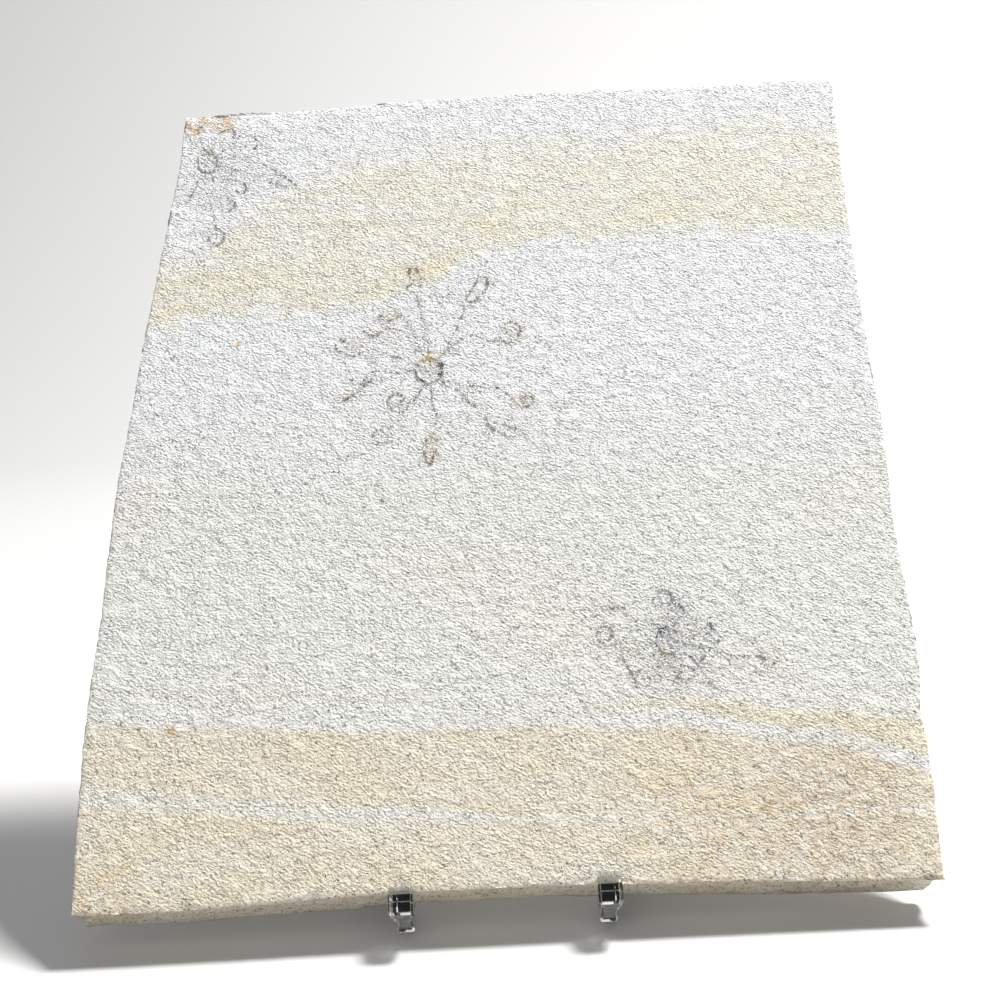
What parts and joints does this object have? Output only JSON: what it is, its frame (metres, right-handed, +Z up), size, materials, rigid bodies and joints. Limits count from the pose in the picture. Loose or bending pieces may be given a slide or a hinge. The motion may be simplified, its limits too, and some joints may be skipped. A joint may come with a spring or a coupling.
{
  "type": "crinoid fossil",
  "caption": "Pale limestone slab bearing small star-shaped crinoids with curled arms in low relief, leaning back on a clear moulded easel.",
  "frame": {"origin": "middle of the whole thing's footprint, on the surface that the easel stands on", "axes": "+Z up, the slab's face looks towards -Y and leans back towards +Y, +X to the viewer's right"},
  "size_m": [0.1598, 0.1244, 0.156],
  "materials": {
    "limestone": "matte, finely grained, cream with yellow bands",
    "fossil_calcite": "dull calcite, grey to rusty brown",
    "clear_plastic": "clear, polished"
  },
  "bodies": {
    "root": {"limestone_slab": "limestone", "crinoid_middle": "fossil_calcite", "crinoid_top_left": "fossil_calcite", "crinoid_low_right": "fossil_calcite", "display_stand": "clear_plastic"}
  },
  "joints": []
}
